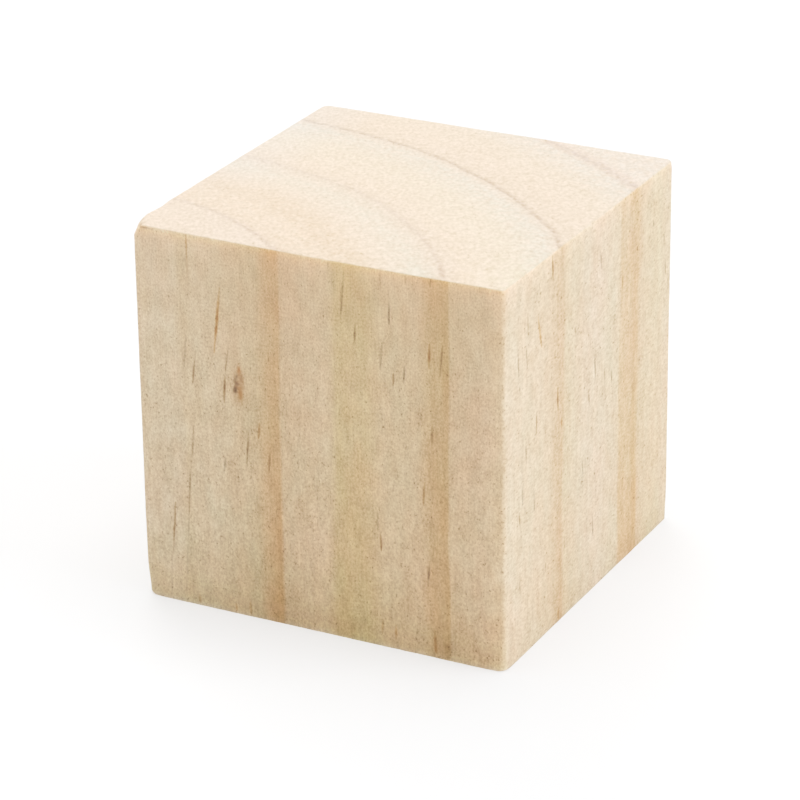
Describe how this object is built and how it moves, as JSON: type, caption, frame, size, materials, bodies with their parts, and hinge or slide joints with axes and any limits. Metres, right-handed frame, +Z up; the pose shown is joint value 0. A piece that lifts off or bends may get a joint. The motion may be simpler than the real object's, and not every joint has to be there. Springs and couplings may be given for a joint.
{
  "type": "wooden cube",
  "caption": "Small solid pine block, equal in width, depth and height, with eased edges and growth rings on its sawn end grain.",
  "frame": {"origin": "centre of the bottom face, which is one of the two sawn end-grain faces", "axes": "+Z up, along the wood grain, out of the end-grain face that shows the growth rings; -Y out of the planed face that holds the small knot; +X out of the planed face to its right"},
  "size_m": [0.02, 0.02, 0.02],
  "materials": {
    "bare_pine": "bare, planed and unfinished; matt, with sawn end grain on top and underneath"
  },
  "bodies": {
    "root": {"pine_cube": "bare_pine"}
  },
  "joints": []
}
